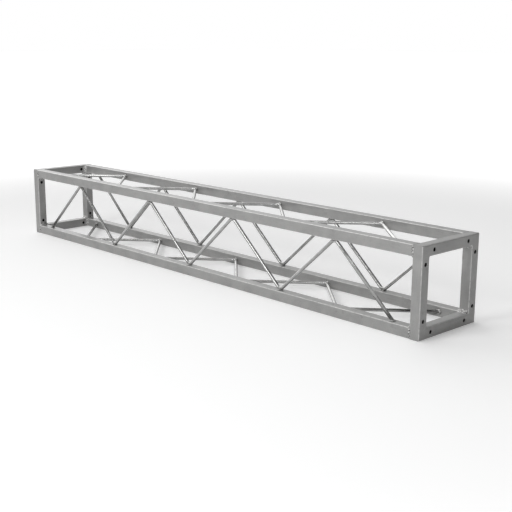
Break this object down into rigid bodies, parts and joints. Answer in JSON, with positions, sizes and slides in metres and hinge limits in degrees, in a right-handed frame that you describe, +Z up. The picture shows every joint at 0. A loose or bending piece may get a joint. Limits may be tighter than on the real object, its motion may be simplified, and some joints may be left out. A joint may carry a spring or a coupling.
{
  "type": "lighting truss section",
  "caption": "Straight box truss section for stage lighting: square-tube chords, welded square end frames with bolt holes, and bent-bar lacing on all four faces.",
  "frame": {"origin": "middle of the underside, halfway between the two end faces", "axes": "+X along the section towards the right end frame, +Z up, -Y towards the front face"},
  "size_m": [1.5, 0.202, 0.2],
  "materials": {
    "tube_paint": "satin silver-grey paint on square steel tube",
    "bar_paint": "satin silver-grey paint on round steel bar",
    "weld_paint": "the same paint over rippled weld beads"
  },
  "bodies": {
    "root": {"chord_bottom_front": "tube_paint", "chord_bottom_back": "tube_paint", "chord_top_back": "tube_paint", "chord_top_front": "tube_paint", "left_frame_bottom_tube": "tube_paint", "left_frame_back_tube": "tube_paint", "left_frame_top_tube": "tube_paint", "left_frame_front_tube": "tube_paint", "right_frame_bottom_tube": "tube_paint", "right_frame_back_tube": "tube_paint", "right_frame_top_tube": "tube_paint", "right_frame_front_tube": "tube_paint", "lacing_bar_bottom": "bar_paint", "lacing_bar_back": "bar_paint", "lacing_bar_top": "bar_paint", "lacing_bar_front": "bar_paint", "chord_weld_left_bottom_front": "weld_paint", "chord_weld_left_bottom_back": "weld_paint", "chord_weld_left_top_back": "weld_paint", "chord_weld_left_top_front": "weld_paint", "chord_weld_right_bottom_front": "weld_paint", "chord_weld_right_bottom_back": "weld_paint", "chord_weld_right_top_back": "weld_paint", "chord_weld_right_top_front": "weld_paint", "frame_corner_welds_left": "weld_paint", "frame_corner_welds_right": "weld_paint", "lacing_welds_bottom": "weld_paint", "lacing_welds_back": "weld_paint", "lacing_welds_top": "weld_paint", "lacing_welds_front": "weld_paint"}
  },
  "joints": []
}
